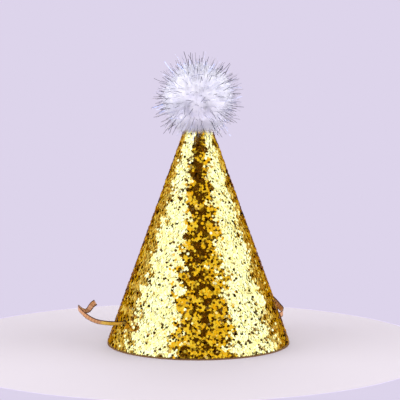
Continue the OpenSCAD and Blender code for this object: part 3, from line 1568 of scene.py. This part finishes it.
def catmull(rows: np.ndarray, t: float) -> np.ndarray:
    """Point on a smooth curve through four points.

    Args:
        rows: The four points, one a row.
        t: Share of the middle stretch at which the point lies.

    Returns:
        The point.
    """
    a, b, c, d = rows
    return 0.5 * (
        2 * b
        + (c - a) * t
        + (2 * a - 5 * b + 4 * c - d) * t**2
        + (3 * b - a - 3 * c + d) * t**3
    )


LEFT_ROUTE = (
    (3.8, 0.8, 0, 50), (7.1, 0.5, 0.4, 50), (10.3, 0.5, 0.9, 50), (13.1, 0.8, 1.5, 51),
    (15.6, 1.7, 2.4, 54), (17.6, 3, 3.6, 60), (19.1, 4.5, 4.9, 67), (20, 6.5, 6.2, 75),
    (20.1, 9.1, 7.1, 84), (19.3, 12, 7.3, 86), (17.6, 14.6, 6.7, 76), (15.7, 16, 5.5, 56),
    (13.8, 16.6, 4.6, 40), (12.3, 16.7, 4.6, 34), (11.1, 16.8, 5.5, 34),
    (10.1, 16.9, 6.7, 40), (9, 17, 7.7, 56), (7.7, 17.2, 8.4, 76),
)
RIGHT_ROUTE = (
    (2.6, 0.4, -1.9, 60), (5.1, 0.7, -3.1, 75), (7.3, 1.1, -3.4, 85), (9.1, 1.9, -2.7, 92),
    (10.4, 3.3, -1.8, 98), (10.7, 5.2, -1, 102), (10.2, 7.2, 0.3, 104), (9.5, 9.2, 2, 104),
    (8.7, 11.2, 3.5, 102), (8, 13.6, 4.9, 98), (7, 16.7, 5.8, 94), (5.4, 20, 6, 90),
    (3, 23.2, 5.1, 88), (0.2, 26.2, 3.5, 86), (-2.8, 28.8, 1.5, 84),
)


@dataclass(frozen=True)
class Softbox:
    """A soft rectangular lamp that faces the hat.

    Its turn is in degrees to the camera's right and its rise in degrees above
    the level. Its radiance is how bright its face is, with 1 as white.
    """

    name: str
    turn: float
    rise: float
    distance: float
    size: Span
    radiance: float


@dataclass
class Studio:
    """Camera, lamps, floor and backdrop, and the room that the metal mirrors."""

    azimuth: float = math.radians(-28)
    distance: float = 0.8
    camera_height: float = 153.5 * MM
    aim_height: float = 71.1 * MM
    aim_right: float = 0.9 * MM
    focal_share: float = 1632 / 400
    sensor: float = 36.0
    clip_start: float = 10 * MM
    lamp_colour: Colour = (0.92, 0.93, 1.03)
    lamp_aim: float = 60 * MM
    softboxes: tuple[Softbox, ...] = (
        Softbox("softbox_left", -70, 18, 0.8, (0.86, 0.5), 4.7),
        Softbox("softbox_right", 75, 18, 0.8, (0.86, 0.5), 5.0),
        Softbox("softbox_top", 0, 61, 0.9, (0.9, 0.45), 2.0),
        Softbox("softbox_low", 0, 4, 1.1, (1.0, 0.27), 1.1),
        Softbox("softbox_back", 180, 30, 0.9, (0.9, 0.5), 2.2),
    )
    backdrop: Colour = from_srgb(221, 212, 235)
    floor_size: float = 0.9
    room_radius: float = 1.6
    room_height: float = 1.75
    room_foot: float = -0.15
    room_open: float = -0.93

    @property
    def towards(self) -> np.ndarray:
        """Level direction from the hat to the camera."""
        return np.array([math.sin(self.azimuth), -math.cos(self.azimuth), 0.0])

    @property
    def right(self) -> np.ndarray:
        """Level direction to the camera's right."""
        return np.array([math.cos(self.azimuth), math.sin(self.azimuth), 0.0])

    def build_camera(self) -> None:
        """Places the camera at the viewing angle of the reference."""
        data = bpy.data.cameras.new("studio_camera")
        data.sensor_width = self.sensor
        data.lens = self.sensor * self.focal_share
        data.clip_start = self.clip_start
        camera = bpy.data.objects.new("studio_camera", data)
        eye = self.towards * self.distance + [0, 0, self.camera_height]
        aim = self.right * self.aim_right + [0, 0, self.aim_height]
        camera.location = eye
        camera.rotation_euler = Vector(aim - eye).to_track_quat("-Z", "Y").to_euler()
        bpy.context.scene.collection.objects.link(camera)
        bpy.context.scene.camera = camera

    def add_softbox(self, box: Softbox) -> None:
        """Adds a lamp that lights the matt surfaces and that the metal doesn't mirror.

        Args:
            box: The lamp's place, size and brightness.
        """
        data = bpy.data.lights.new(box.name, "AREA")
        data.shape = "RECTANGLE"
        data.size, data.size_y = box.size
        data.energy = box.radiance * math.pi * box.size[0] * box.size[1]
        data.color = self.lamp_colour
        lamp = bpy.data.objects.new(box.name, data)
        turn, rise = math.radians(box.turn), math.radians(box.rise)
        level = self.towards * math.cos(turn) + self.right * math.sin(turn)
        middle = np.array([0.0, 0.0, self.lamp_aim])
        spot = middle + box.distance * (level * math.cos(rise) + [0, 0, math.sin(rise)])
        lamp.location = spot
        lamp.rotation_euler = Vector(middle - spot).to_track_quat("-Z", "Y").to_euler()
        lamp.visible_camera = False
        lamp.visible_glossy = False
        bpy.context.scene.collection.objects.link(lamp)

    def build_lamps(self) -> None:
        """Sets a softbox at each side, overhead, behind the hat and low behind the camera."""
        for box in self.softboxes:
            self.add_softbox(box)

    def build_world(self) -> None:
        """Sets the pale backdrop behind the hat, which also lights it evenly."""
        world = bpy.data.worlds.new("backdrop")
        bpy.context.scene.world = world
        world.use_nodes = True
        surface = world.node_tree.nodes["Background"]
        surface.inputs["Color"].default_value = (*self.backdrop, 1.0)

    def build_room(self) -> None:
        """Puts a wall with two windows round the hat and a dim ceiling above.

        They are reflector cards: the metal mirrors them, and neither the camera
        nor the matt surfaces see them.
        """
        top = self.room_height + self.room_foot
        clear_selection()
        bpy.ops.mesh.primitive_cylinder_add(
            vertices=96, radius=self.room_radius, depth=self.room_height,
            end_fill_type="NOTHING", location=(0, 0, self.room_height / 2 + self.room_foot),
        )
        bpy.ops.object.mode_set(mode="EDIT")
        bpy.ops.mesh.select_all(action="SELECT")
        bpy.ops.mesh.bisect(
            plane_co=(self.towards * self.room_open * self.room_radius).tolist(),
            plane_no=self.towards.tolist(), clear_inner=True,
        )
        bpy.ops.object.mode_set(mode="OBJECT")
        self.finish_room("room_wall", RoomWall().make(self.right, self.towards))
        clear_selection()
        bpy.ops.mesh.primitive_circle_add(
            vertices=48, radius=self.room_radius, fill_type="NGON", location=(0, 0, top)
        )
        self.finish_room("room_ceiling", RoomCeiling().make())

    def finish_room(self, name: str, material: bpy.types.Material) -> None:
        """Names the new wall or ceiling and leaves it to the metal's reflections.

        Args:
            name: Its name.
            material: Its finish.
        """
        surface = bpy.context.object
        surface.name = surface.data.name = name
        bpy.ops.object.transform_apply(location=True)
        surface.data.materials.append(material)
        surface.visible_camera = False
        surface.visible_diffuse = False
        surface.visible_shadow = False

    def build_floor(self) -> None:
        """Lays the floor, a pale round that fades into the backdrop's colour."""
        clear_selection()
        bpy.ops.mesh.primitive_plane_add(size=self.floor_size)
        floor = bpy.context.object
        floor.name = floor.data.name = "floor"
        finish = PaleFloor(self.backdrop)
        floor.data.materials.append(finish.make(self.right, self.towards))


@dataclass
class PartyHat:
    """The whole hat, dressed piece by piece."""

    form: ConeForm = ConeForm()

    def build_ties(self) -> None:
        satin = SatinRibbon().make()
        for side, route, map_start in (
            (Side.LEFT, LEFT_ROUTE, 0.0), (Side.RIGHT, RIGHT_ROUTE, 10 * MM)
        ):
            tie = RibbonTie(self.form, side, route, map_start)
            ribbon = tie.build(satin)
            knot = tie.build_knot(satin)
            path = tie.smooth_path()[:, :3]
            dress(ribbon, f"tie_{side.name.lower()}")
            dress(knot, f"knot_{side.name.lower()}")
            tuple(self.form.exit_of(side))

    def build_cone(self) -> None:
        """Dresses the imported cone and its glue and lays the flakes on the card."""
        for node, finish in (("cone", GlitterCard()), ("glue_bead", HotGlue())):
            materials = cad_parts[node].data.materials
            materials.clear()
            materials.append(finish.make())
        for piece in GlitterLayer(self.form).build(FlakeFilm().make()):
            dress(piece, "glitter")

    def build_pompom(self) -> None:
        """Makes the fluff and its tinsel."""
        pompom = Pompom(self.form)
        fluff = FluffFibre().make()
        dress(pompom.build_core(fluff), "pompom_fluff")
        dress(pompom.build_fibres(fluff), "pompom_fluff")
        dress(pompom.build_strands(TinselFilm().make()), "pompom_tinsel")


def dress(piece: bpy.types.Object, node: str) -> None:
    """Puts a piece on the body and in place of a CAD node.

    Args:
        piece: The piece.
        node: The CAD node that the piece stands for.
    """
    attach(piece, "root")
    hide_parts(node)
    LOG.info("%s: %d faces, for %s", piece.name, len(piece.data.polygons), node)


def main() -> None:
    """Builds the studio and the hat."""
    logging.basicConfig(level=logging.INFO, format="%(name)s %(message)s")
    studio = Studio()
    studio.build_camera()
    hat = PartyHat()
    hat.build_ties()
    hat.build_cone()
    hat.build_pompom()
    studio.build_lamps()
    studio.build_world()
    studio.build_room()
    studio.build_floor()
    bpy.context.scene.view_settings.view_transform = "Standard"


if __name__ == "__main__":
    main()
